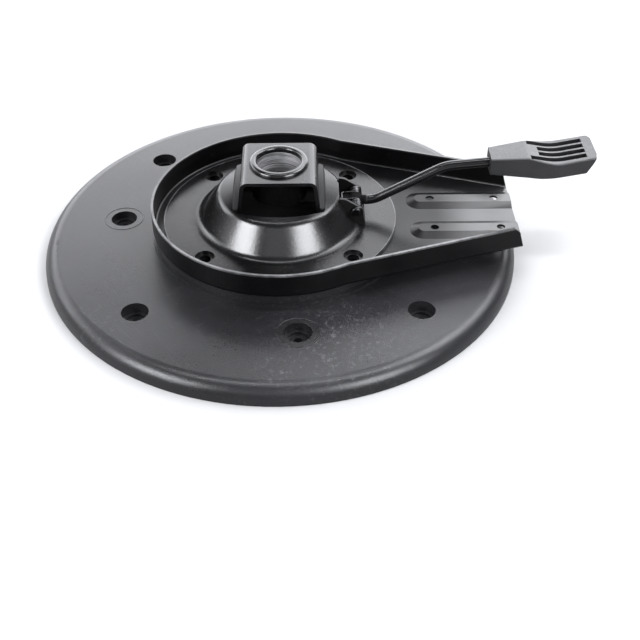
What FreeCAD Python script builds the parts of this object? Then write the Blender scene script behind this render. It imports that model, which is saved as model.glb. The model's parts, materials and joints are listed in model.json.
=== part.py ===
import FreeCAD, Part
import math
import os
import Sketcher

# Seat plate of a gas-lift stool, lying seat side down: moulded disc, pressed tray and dome,
# bracket with the tapered socket, and a sprung release lever.
# Lengths are millimetres and angles are degrees.
# The origin is where the socket axis meets the seat face, +Z points away from the seat,
# and +X points along the tail of the tray to the lever handle.

SIZES = {
    # Moulded disc
    "disc_radius": 150.0,
    "disc_height": 11.0,
    "disc_skin": 3.0,
    "rim_round": 9.0,
    "rim_wall": 4.0,
    "plinth_inset": 2.3,
    "plinth_height": 7.4,
    "plinth_step": 2.5,
    "plinth_step_height": 2.4,
    "ring_rib": 2.6,
    "spoke_rib": 2.6,
    "spoke_count": 12.0,
    "hub_radius": 16.0,
    # Screw cups of the disc
    "cup_share": 0.534,
    "cup_radius": 8.1,
    "cup_floor": 3.0,
    "cup_wall": 2.4,
    "cup_ledge_width": 2.3,
    "cup_ledge_height": 1.4,
    "screw_hole_radius": 2.5,
    "insert_share": 0.315,
    "insert_angle": 6.4,
    "insert_radius": 12.3,
    "insert_wall": 4.0,
    "insert_floor": 1.5,
    "insert_clearance": 0.05,
    # Seat bolts
    "bolt_square": 90.0,
    "bolt_hole_radius": 3.75,
    "tray_hole_radius": 3.65,
    "bolt_boss_wall": 3.0,
    # Tray
    "tray_sheet": 1.5,
    "tray_radius": 81.3,
    "tray_wall_height": 16.5,
    "tray_bend": 3.0,
    "tail_length": 150.0,
    "tail_half_width": 34.3,
    "tail_angle": 59.9,
    "tail_blend": 18.0,
    "tail_slant": 5.0,
    "tail_corner": 4.0,
    "stiffener_gap": 8.0,
    "stiffener_middle": 16.3,
    "stiffener_foot_half": 9.5,
    "stiffener_crest_half": 4.1,
    "stiffener_height": 2.2,
    "stiffener_hole_radius": 2.6,
    "stiffener_hole_inset": 15.5,
    "tail_hole_inset": 11.0,
    # Dome plate
    "dome_sheet": 2.0,
    "flange_gap": 7.3,
    "flange_hole_radius": 6.0,
    "dome_foot_radius": 51.2,
    "dome_flank_angle": 56.3,
    "dome_shoulder_height": 18.3,
    "dome_crown_angle": 21.6,
    "dome_foot_round": 7.0,
    "dome_shoulder_round": 6.5,
    "opening_reach": 9.9,
    "opening_corner": 2.8,
    "window_half_width": 13.3,
    "window_behind_pivot": 10.6,
    "window_before_pivot": 6.2,
    "window_corner": 0.9,
    # Bracket
    "bracket_sheet": 2.3,
    "bracket_rise": 20.2,
    "bracket_width": 46.2,
    "bracket_depth": 47.2,
    "bracket_bend": 4.6,
    "leg_splay": 6.8,
    "leg_lever_gap": 3.1,
    "leg_clearance": 0.2,
    # Tapered socket
    "socket_bore_radius": 14.0,
    "socket_wall": 3.6,
    "socket_lever_gap": 5.2,
    "socket_land": 7.0,
    "socket_taper": 1.6,
    "socket_lip_reach": 0.9,
    "socket_lip_height": 2.4,
    "socket_lip_outer_round": 2.1,
    "socket_lip_inner_round": 1.5,
    "socket_clearance": 0.05,
    # Weld strips beside the bracket legs
    "strip_thickness": 2.2,
    "strip_width": 2.7,
    "strip_beyond_leg": 2.2,
    "strip_end_round": 1.6,
    "strip_edge_round": 0.9,
    "strip_clearance": 0.03,
    # Yoke of the lever
    "pivot_x": 48.0,
    "pivot_lift": 12.5,
    "yoke_sheet": 2.0,
    "yoke_half_width": 13.0,
    "yoke_clearance": 0.3,
    "cheek_crest_back": 6.5,
    "cheek_crest_rise": 8.4,
    "cheek_inner_rise": 9.0,
    "cheek_front_reach": 4.2,
    "cheek_front_rise": 1.4,
    "cheek_round": 2.5,
    # Pivot pin
    "pin_radius": 2.0,
    "pin_clearance": 0.05,
    "pin_head_radius": 3.4,
    "pin_head_height": 2.0,
    "pin_end_radius": 2.9,
    "pin_end_height": 1.3,
    # Lever rod
    "rod_radius": 3.0,
    "hub_half_length": 3.2,
    "hub_outer_radius": 4.0,
    "presser_past_axis": 3.0,
    "presser_half_width": 5.0,
    "presser_thickness": 4.0,
    "rod_flat_run": 11.5,
    "rod_rise_run": 44.0,
    "rod_rise_height": 24.8,
    "rod_grip_run": 27.0,
    "rod_grip_rise": 2.8,
    "rod_lower_bend": 18.0,
    "rod_upper_bend": 25.0,
    "rod_in_handle": 20.6,
    # Handle
    "handle_from_bend": 26.9,
    "handle_neck": 22.6,
    "handle_dip": 16.0,
    "handle_tip": 24.5,
    "handle_end_slant": 6.0,
    "handle_root_half": 7.9,
    "handle_waist_half": 11.3,
    "handle_pad_half": 14.6,
    "handle_end_half": 14.1,
    "handle_root_below": 5.0,
    "handle_root_above": 6.1,
    "handle_waist_above": 8.8,
    "handle_belly_behind": 8.0,
    "handle_belly_below": 5.4,
    "handle_pad_above": 5.9,
    "handle_end_below": 0.6,
    "handle_end_above": 10.9,
    "handle_side_round": 28.0,
    "handle_corner_round": 2.8,
    "handle_belly_round": 30.0,
    "handle_waist_round": 8.0,
    "handle_pad_round": 32.0,
    "handle_edge_round": 1.1,
    "handle_bore_clearance": 0.05,
    "slot_width": 4.2,
    "slot_side_wall": 0.6,
    "slot_depth": 6.0,
    "slot_from_waist": 1.0,
    "slot_from_nose": 5.8,
    "slot_end_round": 1.6,
    # Return spring
    "wire_radius": 0.65,
    "coil_radius": 3.3,
    "coil_pitch": 1.86,
    "coil_turns": 3.0,
    "coil_side_gap": 0.35,
    "spring_arm": 8.5,
    "spring_bend": 1.6,
    "spring_seat_gap": 0.3,
}

doc = FreeCAD.newDocument("seat_plate")
sheet = doc.addObject("Spreadsheet::Sheet", "Sizes")


class Size:
    """A number that carries the sheet formula it comes from."""

    def __init__(self, value, text):
        self.value = float(value)
        self.text = text

    def __add__(self, other):
        other = as_size(other)
        return Size(self.value + other.value, "(%s + %s)" % (self.text, other.text))

    def __sub__(self, other):
        other = as_size(other)
        return Size(self.value - other.value, "(%s - %s)" % (self.text, other.text))

    def __mul__(self, other):
        other = as_size(other)
        return Size(self.value * other.value, "(%s * %s)" % (self.text, other.text))

    def __truediv__(self, other):
        other = as_size(other)
        return Size(self.value / other.value, "(%s / %s)" % (self.text, other.text))

    def __neg__(self):
        return Size(-self.value, "(-1 * %s)" % self.text)


def as_size(item):
    if isinstance(item, Size):
        return item
    return Size(item, "(%r)" % float(item))


def sine(angle):
    return Size(math.sin(math.radians(angle.value)), "sin(%s)" % angle.text)


def cosine(angle):
    return Size(math.cos(math.radians(angle.value)), "cos(%s)" % angle.text)


def tangent(angle):
    return Size(math.tan(math.radians(angle.value)), "tan(%s)" % angle.text)


class Table:
    """The sizes by name, each tied to its sheet cell."""


s = Table()
for row, (name, value) in enumerate(SIZES.items(), start=1):
    sheet.set("A%d" % row, name)
    sheet.set("B%d" % row, "%g" % value)
    sheet.setAlias("B%d" % row, name)
    setattr(s, name, Size(value, "Sizes." + name))
doc.recompute()

# Heights and places that several pieces share
plinth_top = s.disc_height + s.plinth_height
tray_floor = plinth_top + s.tray_sheet
flange_top = tray_floor + s.dome_sheet
wall_top = plinth_top + s.tray_wall_height
plinth_radius = s.tray_radius - s.plinth_inset
plinth_step_radius = plinth_radius + s.plinth_step
flat_ring = s.disc_radius - plinth_step_radius
cup_circle = plinth_step_radius + flat_ring * s.cup_share
insert_circle = plinth_step_radius + flat_ring * s.insert_share
flange_radius = s.tray_radius - s.flange_gap
bolt_place = s.bolt_square / 2
shoulder_top = flange_top + s.dome_shoulder_height
bracket_top = shoulder_top + s.bracket_rise
bracket_half = s.bracket_width / 2
pivot_height = tray_floor + s.pivot_lift
presser_top = pivot_height + s.presser_thickness / 2
leg_end = presser_top + s.leg_lever_gap
socket_end = presser_top + s.socket_lever_gap
socket_outer_radius = s.socket_bore_radius + s.socket_wall
socket_hole_radius = socket_outer_radius + s.socket_clearance
window_inner = s.pivot_x - s.window_behind_pivot
window_outer = s.pivot_x + s.window_before_pivot
pin_bore_radius = s.pin_radius + s.pin_clearance
leg_shift = tangent(s.leg_splay)
rise_start = s.pivot_x + s.rod_flat_run
rise_end = rise_start + s.rod_rise_run
rise_end_height = pivot_height + s.rod_rise_height
grip_slope = s.rod_grip_rise / s.rod_grip_run
handle_root = rise_end + s.handle_from_bend
handle_waist = handle_root + s.handle_neck
handle_pad = handle_waist + s.handle_dip
handle_nose = handle_pad + s.handle_tip
grip_height = rise_end_height + s.handle_from_bend * grip_slope
handle_top = grip_height + s.handle_end_above
FULL_TURN = 360.0
EDGE_SHARE = 0.98
OUTER_STEP = 1.5
TINY = 1e-6


def new_body(name):
    body = doc.addObject("PartDesign::Body", name)
    body.Label = name
    return body


def origin_plane(body, role):
    return [item for item in body.Origin.OriginFeatures if item.Role == role][0]


def new_sketch(body, name, role, height=None, across=None):
    """A sketch on an origin plane, lifted by height and moved by across if given."""
    sketch = body.newObject("Sketcher::SketchObject", name)
    sketch.AttachmentSupport = [(origin_plane(body, role), "")]
    sketch.MapMode = "FlatFace"
    if height is not None:
        sketch.setExpression("AttachmentOffset.Base.z", height.text)
    if across is not None:
        sketch.setExpression("AttachmentOffset.Base.x", across.text)
    return sketch


def bind(sketch, kind, *arguments):
    """A dimension of the sketch that follows the sheet."""
    size = as_size(arguments[-1])
    constraint = Sketcher.Constraint(kind, *arguments[:-1], size.value)
    index = sketch.addConstraint(constraint)
    sketch.setExpression("Constraints[%d]" % index, size.text)


def place(sketch, edge, end, across, up):
    bind(sketch, "DistanceX", -1, 1, edge, end, across)
    bind(sketch, "DistanceY", -1, 1, edge, end, up)


def add_circle(sketch, across, up, radius):
    across, up = as_size(across), as_size(up)
    middle = FreeCAD.Vector(across.value, up.value, 0)
    edge = sketch.addGeometry(Part.Circle(middle, FreeCAD.Vector(0, 0, 1), radius.value))
    bind(sketch, "Radius", edge, radius)
    place(sketch, edge, 3, across, up)


def add_outline(sketch, corners):
    """A closed outline; a corner is (across, up), or (across, up, radius) if rounded.

    Roundings that meet on a short edge shrink to fit it.
    """
    count = len(corners)
    points = [FreeCAD.Vector(as_size(c[0]).value, as_size(c[1]).value, 0) for c in corners]
    rounds = [c[2] if len(c) > 2 else None for c in corners]
    lengths = [(points[(i + 1) % count] - points[i]).Length for i in range(count)]
    ways = [(points[(i + 1) % count] - points[i]).normalize() for i in range(count)]
    cuts = [0.0 if rounds[i] is None
            else rounds[i].value * math.tan(ways[i - 1].getAngle(ways[i]) / 2)
            for i in range(count)]
    shares = [min(1.0, EDGE_SHARE * lengths[i] / max(cuts[i] + cuts[(i + 1) % count], TINY))
              for i in range(count)]
    arrive = []
    leave = []
    for i in range(count):
        share = min(shares[i - 1], shares[i])
        if rounds[i] is not None and share < 1.0:
            rounds[i] = rounds[i] * share
        arrive.append(points[i] - ways[i - 1] * cuts[i] * share)
        leave.append(points[i] + ways[i] * cuts[i] * share)
    edges = [sketch.addGeometry(Part.LineSegment(leave[i], arrive[(i + 1) % count]))
             for i in range(count)]
    for i in range(count):
        across, up = corners[i][0], corners[i][1]
        last = edges[i - 1]
        if rounds[i] is None:
            sketch.addConstraint(Sketcher.Constraint("Coincident", last, 2, edges[i], 1))
            place(sketch, edges[i], 1, across, up)
            continue
        before = ways[i - 1]
        left_turn = before.cross(ways[i]).z > 0
        side = FreeCAD.Vector(-before.y, before.x, 0) * (1 if left_turn else -1)
        centre = arrive[i] + side * rounds[i].value
        first, second = (arrive[i], leave[i]) if left_turn else (leave[i], arrive[i])
        start = math.atan2(first.y - centre.y, first.x - centre.x)
        stop = math.atan2(second.y - centre.y, second.x - centre.x)
        circle = Part.Circle(centre, FreeCAD.Vector(0, 0, 1), rounds[i].value)
        arc = sketch.addGeometry(Part.ArcOfCircle(circle, start, stop))
        corner = sketch.addGeometry(Part.Point(points[i]), True)
        from_end, to_end = (1, 2) if left_turn else (2, 1)
        place(sketch, corner, 1, across, up)
        sketch.addConstraint(Sketcher.Constraint("PointOnObject", corner, 1, last))
        sketch.addConstraint(Sketcher.Constraint("PointOnObject", corner, 1, edges[i]))
        sketch.addConstraint(Sketcher.Constraint("Tangent", last, 2, arc, from_end))
        sketch.addConstraint(Sketcher.Constraint("Tangent", arc, to_end, edges[i], 1))
        bind(sketch, "Radius", arc, rounds[i])


def add_box(sketch, left, right, low, high):
    add_outline(sketch, [(left, low), (right, low), (right, high), (left, high)])


def pad(body, sketch, name, length, symmetric=False, backward=False):
    feature = body.newObject("PartDesign::Pad", name)
    feature.Profile = sketch
    feature.setExpression("Length", length.text)
    feature.SideType = "Symmetric" if symmetric else "One side"
    feature.Reversed = backward
    return feature


def pocket(body, sketch, name, length=None, symmetric=False, upward=False):
    """A pocket that cuts below its sketch, or above it if upward; through all with no length."""
    feature = body.newObject("PartDesign::Pocket", name)
    feature.Profile = sketch
    if length is None:
        feature.Type = "ThroughAll"
    else:
        feature.setExpression("Length", length.text)
    feature.SideType = "Symmetric" if symmetric else "One side"
    feature.Reversed = upward
    return feature


def revolve(body, sketch, name, axis="V_Axis", cut=False):
    feature = body.newObject("PartDesign::Groove" if cut else "PartDesign::Revolution", name)
    feature.Profile = sketch
    feature.ReferenceAxis = (sketch, [axis])
    feature.Angle = FULL_TURN
    return feature


def polar(body, feature, name, count):
    """Copies of a feature round the vertical axis."""
    pattern = body.newObject("PartDesign::PolarPattern", name)
    pattern.Originals = [feature]
    axis = [item for item in body.Origin.OriginFeatures if item.Role == "Z_Axis"][0]
    pattern.Axis = (axis, [""])
    pattern.Angle = FULL_TURN
    count = as_size(count)
    pattern.Occurrences = int(count.value)
    pattern.setExpression("Occurrences", count.text)
    body.Tip = pattern
    return pattern


def rounded(body, base, name, edges, radius):
    """A fillet on the edges of base that the test picks."""
    doc.recompute()
    picked = ["Edge%d" % (i + 1) for i, edge in enumerate(base.Shape.Edges) if edges(edge)]
    if not picked:
        raise RuntimeError("no edge to round for " + name)
    feature = body.newObject("PartDesign::Fillet", name)
    feature.Base = (base, picked)
    feature.setExpression("Radius", radius.text)
    return feature


def insert_places():
    """The two pairs of ringed cups, each pair straight across the disc."""
    low = insert_circle * sine(s.insert_angle)
    far = insert_circle * cosine(s.insert_angle)
    return [(-far, low), (low, -far), (far, -low), (-low, far)]


def cup_places():
    side = cup_circle / math.sqrt(2)
    return [(side, side), (-side, side), (-side, -side), (side, -side)]


def bolt_places():
    return [(bolt_place, bolt_place), (-bolt_place, bolt_place),
            (-bolt_place, -bolt_place), (bolt_place, -bolt_place)]


def ring_bands(inner, outer, count):
    """Equal ring-shaped hollows between two radii, parted by ring ribs."""
    step = (outer - inner + s.ring_rib) / count
    return [(inner + step * i, inner + step * (i + 1) - s.ring_rib) for i in range(count)]


def make_disc():
    body = new_body("base_disc")
    form = new_sketch(body, "disc_form", "XZ_Plane")
    step_top = s.disc_height + s.plinth_step_height
    add_outline(form, [(0, 0), (s.disc_radius, 0),
                       (s.disc_radius, s.disc_height, s.rim_round),
                       (plinth_step_radius, s.disc_height),
                       (plinth_step_radius, step_top), (plinth_radius, step_top),
                       (plinth_radius, plinth_top), (0, plinth_top)])
    revolve(body, form, "disc_turned")
    # Hollow rings under the plinth and under the flat part
    rings = new_sketch(body, "ring_form", "XZ_Plane")
    plinth_inside = plinth_radius - s.disc_skin
    for inner, outer in ring_bands(s.hub_radius, plinth_inside, 2):
        add_box(rings, inner, outer, 0, plinth_top - s.disc_skin)
    flat_inside = s.disc_radius - s.rim_wall - s.disc_skin
    for inner, outer in ring_bands(plinth_radius + s.ring_rib, flat_inside, 3):
        add_box(rings, inner, outer, 0, s.disc_height - s.disc_skin)
    revolve(body, rings, "ring_hollows", cut=True)
    spoke = new_sketch(body, "spoke_form", "XZ_Plane")
    overlap = s.disc_skin / 2
    add_outline(spoke, [(s.hub_radius - overlap, 0), (flat_inside + overlap, 0),
                        (flat_inside + overlap, s.disc_height - overlap),
                        (plinth_radius - overlap, s.disc_height - overlap),
                        (plinth_radius - overlap, plinth_top - overlap),
                        (s.hub_radius - overlap, plinth_top - overlap)])
    polar(body, pad(body, spoke, "spoke", s.spoke_rib, symmetric=True), "spokes", s.spoke_count)
    # Bosses round every hole, up to the skin
    low = new_sketch(body, "low_boss_form", "XY_Plane")
    for across, up in cup_places():
        add_circle(low, across, up, s.cup_radius + s.cup_wall)
    for across, up in insert_places():
        add_circle(low, across, up, s.insert_radius + s.cup_wall)
    pad(body, low, "low_bosses", s.disc_height - overlap)
    high = new_sketch(body, "high_boss_form", "XY_Plane")
    for across, up in bolt_places():
        add_circle(high, across, up, s.bolt_hole_radius + s.bolt_boss_wall)
    pad(body, high, "bolt_bosses", plinth_top - overlap)
    # Each plain cup steps in to a ledge above its floor
    cups = new_sketch(body, "cup_form", "XY_Plane", s.disc_height)
    for across, up in cup_places():
        add_circle(cups, across, up, s.cup_radius)
    pocket(body, cups, "cups", s.disc_height - s.cup_floor - s.cup_ledge_height)
    wells = new_sketch(body, "well_form", "XY_Plane", s.disc_height)
    for across, up in cup_places():
        add_circle(wells, across, up, s.cup_radius - s.cup_ledge_width)
    for across, up in insert_places():
        add_circle(wells, across, up, s.insert_radius + s.insert_clearance)
    pocket(body, wells, "wells", s.disc_height - s.cup_floor)
    holes = new_sketch(body, "hole_form", "XY_Plane", plinth_top)
    for across, up in cup_places() + insert_places():
        add_circle(holes, across, up, s.screw_hole_radius)
    for across, up in bolt_places():
        add_circle(holes, across, up, s.bolt_hole_radius)
    pocket(body, holes, "through_holes")
    return body


def make_insert(number, across, up):
    body = new_body("disc_insert_%d" % number)
    form = new_sketch(body, "insert_form_%d" % number, "XY_Plane", s.cup_floor)
    add_circle(form, across, up, s.insert_radius)
    pad(body, form, "insert_%d" % number, s.disc_height - s.cup_floor)
    depth = s.disc_height - s.cup_floor - s.insert_floor
    cup = new_sketch(body, "insert_cup_form_%d" % number, "XY_Plane", s.disc_height)
    add_circle(cup, across, up, s.insert_radius - s.insert_wall)
    pocket(body, cup, "insert_cup_%d" % number, depth - s.cup_ledge_height)
    well = new_sketch(body, "insert_well_form_%d" % number, "XY_Plane", s.disc_height)
    add_circle(well, across, up, s.insert_radius - s.insert_wall - s.cup_ledge_width)
    pocket(body, well, "insert_well_%d" % number, depth)
    hole = new_sketch(body, "insert_hole_form_%d" % number, "XY_Plane", s.disc_height)
    add_circle(hole, across, up, s.screw_hole_radius)
    pocket(body, hole, "insert_hole_%d" % number)
    return body


def add_tray_outline(sketch):
    """Round front and tapering tail; the arc's ends are where the tail starts."""
    start = s.tray_radius * cosine(s.tail_angle)
    half = s.tray_radius * sine(s.tail_angle)
    angle = math.radians(s.tail_angle.value)
    circle = Part.Circle(FreeCAD.Vector(0, 0, 0), FreeCAD.Vector(0, 0, 1), s.tray_radius.value)
    front = sketch.addGeometry(Part.ArcOfCircle(circle, angle, 2 * math.pi - angle))
    points = [(start, -half), (s.tail_length, -s.tail_half_width),
              (s.tail_length, s.tail_half_width), (start, half)]
    ends = [FreeCAD.Vector(across.value, up.value, 0) for across, up in points]
    lines = [sketch.addGeometry(Part.LineSegment(ends[i], ends[i + 1])) for i in range(3)]
    sketch.addConstraint(Sketcher.Constraint("Coincident", front, 3, -1, 1))
    bind(sketch, "Radius", front, s.tray_radius)
    bind(sketch, "DistanceX", -1, 1, front, 1, start)
    bind(sketch, "DistanceX", -1, 1, front, 2, start)
    sketch.addConstraint(Sketcher.Constraint("Coincident", front, 2, lines[0], 1))
    sketch.addConstraint(Sketcher.Constraint("Coincident", lines[0], 2, lines[1], 1))
    sketch.addConstraint(Sketcher.Constraint("Coincident", lines[1], 2, lines[2], 1))
    sketch.addConstraint(Sketcher.Constraint("Coincident", lines[2], 2, front, 1))
    place(sketch, lines[1], 1, s.tail_length, -s.tail_half_width)
    place(sketch, lines[2], 1, s.tail_length, s.tail_half_width)


def stiffener_loft(body, name, kind, low, side):
    """One stiffening rib of the tail, from its foot up to its crest."""
    beyond = s.tail_length + s.tail_slant
    foot_start = flange_radius + s.stiffener_gap
    crest_start = foot_start + s.stiffener_foot_half - s.stiffener_crest_half
    sections = []
    for level, half, start, height in (
            ("foot", s.stiffener_foot_half, foot_start, low),
            ("crest", s.stiffener_crest_half, crest_start, low + s.stiffener_height)):
        sketch = new_sketch(body, "%s_%s" % (name, level), "XY_Plane", height)
        middle = s.stiffener_middle * side
        bend = half * 0.9
        add_outline(sketch, [(start, middle - half, bend), (beyond, middle - half),
                             (beyond, middle + half), (start, middle + half, bend)])
        sections.append(sketch)
    feature = body.newObject(kind, name)
    feature.Profile = sections[0]
    feature.Sections = [sections[1]]
    feature.Ruled = True
    return feature


def make_tray():
    body = new_body("tray")
    form = new_sketch(body, "tray_form", "XY_Plane", plinth_top)
    add_tray_outline(form)
    block = pad(body, form, "tray_block", s.tray_wall_height)
    bottom = plinth_top.value
    kink = s.tray_radius.value * math.cos(math.radians(s.tail_angle.value))

    def tail_kink(edge):
        """The two upright edges where the round front meets the tail."""
        upright = edge.BoundBox.ZLength > s.tray_wall_height.value / 2
        return upright and abs(edge.CenterOfMass.x - kink) < 1

    blended = rounded(body, block, "tail_blends", tail_kink, s.tail_blend)

    def bottom_edge(edge):
        """The edges of the floor, apart from the open tail end."""
        box = edge.BoundBox
        return box.ZMax < bottom + 0.01 and box.XMin < s.tail_length.value - 1

    bent = rounded(body, blended, "tray_bends", bottom_edge, s.tray_bend)
    doc.recompute()
    open_faces = []
    for i, face in enumerate(bent.Shape.Faces):
        box = face.BoundBox
        top = box.ZMin > bottom + s.tray_wall_height.value - 0.01
        end = box.XMin > s.tail_length.value - 0.01
        if top or end:
            open_faces.append("Face%d" % (i + 1))
    shell = body.newObject("PartDesign::Thickness", "tray_shell")
    shell.Base = (bent, open_faces)
    shell.setExpression("Value", s.tray_sheet.text)
    shell.Reversed = True
    shell.Join = "Arc"
    # Slanted ends of the tail walls
    beyond = s.tail_length + s.tail_slant
    ends = new_sketch(body, "tail_end_form", "XZ_Plane")
    slant_top = s.tail_length - s.tail_slant - s.tail_corner / 2
    add_outline(ends, [(s.tail_length, tray_floor), (beyond, tray_floor),
                       (beyond, wall_top + 1), (slant_top, wall_top + 1),
                       (slant_top, wall_top), (slant_top + s.tail_corner, wall_top - s.tail_corner)])
    pocket(body, ends, "tail_end_cut", symmetric=True)
    for side, word in ((-1, "front"), (1, "rear")):
        stiffener_loft(body, "stiffener_" + word, "PartDesign::AdditiveLoft", tray_floor, side)
    for side, word in ((-1, "front"), (1, "rear")):
        stiffener_loft(body, "hollow_" + word, "PartDesign::SubtractiveLoft", plinth_top, side)
    trim = new_sketch(body, "tail_trim_form", "XY_Plane", wall_top)
    add_box(trim, s.tail_length, beyond + 1, -s.tail_half_width, s.tail_half_width)
    pocket(body, trim, "tail_trim")
    holes = new_sketch(body, "tray_hole_form", "XY_Plane", wall_top)
    for across, up in bolt_places():
        add_circle(holes, across, up, s.tray_hole_radius)
    for across in (flange_radius + s.stiffener_gap + s.stiffener_hole_inset,
                   s.tail_length - s.tail_hole_inset):
        for side in (-1, 1):
            add_circle(holes, across, s.stiffener_middle * side, s.stiffener_hole_radius)
    pocket(body, holes, "tray_holes")
    return body


def dome_corners(inner_end, lift):
    """The dome's outer corners from the flange edge to the crown, lifted off it by lift."""
    flank = tangent(s.dome_flank_angle)
    shoulder = s.dome_foot_radius - s.dome_shoulder_height / flank
    crown_rise = (shoulder - inner_end) * tangent(s.dome_crown_angle)
    return [(flange_radius, flange_top + lift),
            (s.dome_foot_radius, flange_top + lift, s.dome_foot_round),
            (shoulder, shoulder_top + lift, s.dome_shoulder_round),
            (inner_end, shoulder_top + crown_rise + lift)]


def leg_face(height):
    """How far out the leg's outer face stands at a height."""
    return bracket_half + (bracket_top - height) * leg_shift


def make_dome():
    body = new_body("dome_plate")
    form = new_sketch(body, "dome_form", "XZ_Plane")
    outer = dome_corners(bracket_half, as_size(0))
    steep = s.dome_flank_angle
    shallow = s.dome_crown_angle
    shoulder = outer[2]
    reach = s.dome_sheet / cosine((steep - shallow) / 2)
    inner_foot = (s.dome_foot_radius - s.dome_sheet * tangent(steep / 2), tray_floor,
                  s.dome_foot_round + s.dome_sheet)
    inner_shoulder = (shoulder[0] - reach * sine((steep + shallow) / 2),
                      shoulder[1] - reach * cosine((steep + shallow) / 2),
                      s.dome_shoulder_round - s.dome_sheet)
    crown_inside = (bracket_half, outer[3][1] - s.dome_sheet / cosine(shallow))
    add_outline(form, outer + [crown_inside, inner_shoulder, inner_foot,
                               (flange_radius, tray_floor)])
    revolve(body, form, "dome_turned")
    crown = new_sketch(body, "crown_opening_form", "XY_Plane", bracket_top)
    # The opening is flat beside the legs, and bulges in a flat arc in front and behind
    flat = leg_face(shoulder_top) + s.leg_clearance
    corner_y = s.bracket_depth / 2 + s.opening_corner
    bulge = s.opening_reach - s.opening_corner
    radius = (flat * flat + bulge * bulge) / (bulge * 2)
    arcs = []
    for way in (1, -1):
        middle_y = (corner_y + bulge - radius) * way
        half_angle = math.asin(flat.value / radius.value)
        middle_angle = math.pi / 2 * way
        circle = Part.Circle(FreeCAD.Vector(0, middle_y.value, 0), FreeCAD.Vector(0, 0, 1),
                             radius.value)
        arc = Part.ArcOfCircle(circle, middle_angle - half_angle, middle_angle + half_angle)
        arcs.append(crown.addGeometry(arc))
        place(crown, arcs[-1], 3, 0, middle_y)
        bind(crown, "Radius", arcs[-1], radius)
    corners = [FreeCAD.Vector(flat.value, -corner_y.value, 0),
               FreeCAD.Vector(flat.value, corner_y.value, 0),
               FreeCAD.Vector(-flat.value, corner_y.value, 0),
               FreeCAD.Vector(-flat.value, -corner_y.value, 0)]
    right = crown.addGeometry(Part.LineSegment(corners[0], corners[1]))
    left = crown.addGeometry(Part.LineSegment(corners[2], corners[3]))
    for arc, first, second in ((arcs[0], right, left), (arcs[1], left, right)):
        crown.addConstraint(Sketcher.Constraint("Coincident", first, 2, arc, 1))
        crown.addConstraint(Sketcher.Constraint("Coincident", arc, 2, second, 1))
    for line, across in ((right, flat), (left, -flat)):
        for end in (1, 2):
            bind(crown, "DistanceX", -1, 1, line, end, across)
    pocket(body, crown, "crown_opening", bracket_top - flange_top)
    window = new_sketch(body, "window_form", "XY_Plane", bracket_top)
    side = s.window_half_width
    add_outline(window, [(window_inner, -side, s.window_corner), (window_outer, -side),
                         (window_outer, side), (window_inner, side, s.window_corner)])
    pocket(body, window, "lever_window")
    holes = new_sketch(body, "flange_hole_form", "XY_Plane", bracket_top)
    for across, up in bolt_places():
        add_circle(holes, across, up, s.flange_hole_radius)
    pocket(body, holes, "flange_holes")
    return body


def make_bracket():
    body = new_body("socket_bracket")
    form = new_sketch(body, "bracket_form", "XZ_Plane")
    foot = leg_face(leg_end)
    inside_top = bracket_top - s.bracket_sheet
    slant = s.bracket_sheet / cosine(s.leg_splay)
    inner_half = leg_face(inside_top) - slant
    inner_bend = s.bracket_bend - s.bracket_sheet
    add_outline(form, [(-foot, leg_end), (slant - foot, leg_end),
                       (-inner_half, inside_top, inner_bend), (inner_half, inside_top, inner_bend),
                       (foot - slant, leg_end), (foot, leg_end),
                       (bracket_half, bracket_top, s.bracket_bend),
                       (-bracket_half, bracket_top, s.bracket_bend)])
    pad(body, form, "bracket_bent", s.bracket_depth, symmetric=True)
    hole = new_sketch(body, "bracket_hole_form", "XY_Plane", bracket_top)
    add_circle(hole, 0, 0, socket_hole_radius)
    pocket(body, hole, "socket_hole", s.bracket_sheet * 2)
    return body


def make_socket():
    body = new_body("taper_socket")
    form = new_sketch(body, "socket_form", "XZ_Plane")
    mouth = bracket_top + s.socket_lip_height
    narrow = s.socket_bore_radius - s.socket_taper / 2
    lip_radius = socket_outer_radius + s.socket_lip_reach
    add_outline(form, [(s.socket_bore_radius, mouth, s.socket_lip_inner_round),
                       (s.socket_bore_radius, mouth - s.socket_land),
                       (narrow, socket_end), (socket_outer_radius, socket_end),
                       (socket_outer_radius, bracket_top), (lip_radius, bracket_top),
                       (lip_radius, mouth, s.socket_lip_outer_round)])
    revolve(body, form, "socket_turned")
    return body


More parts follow.
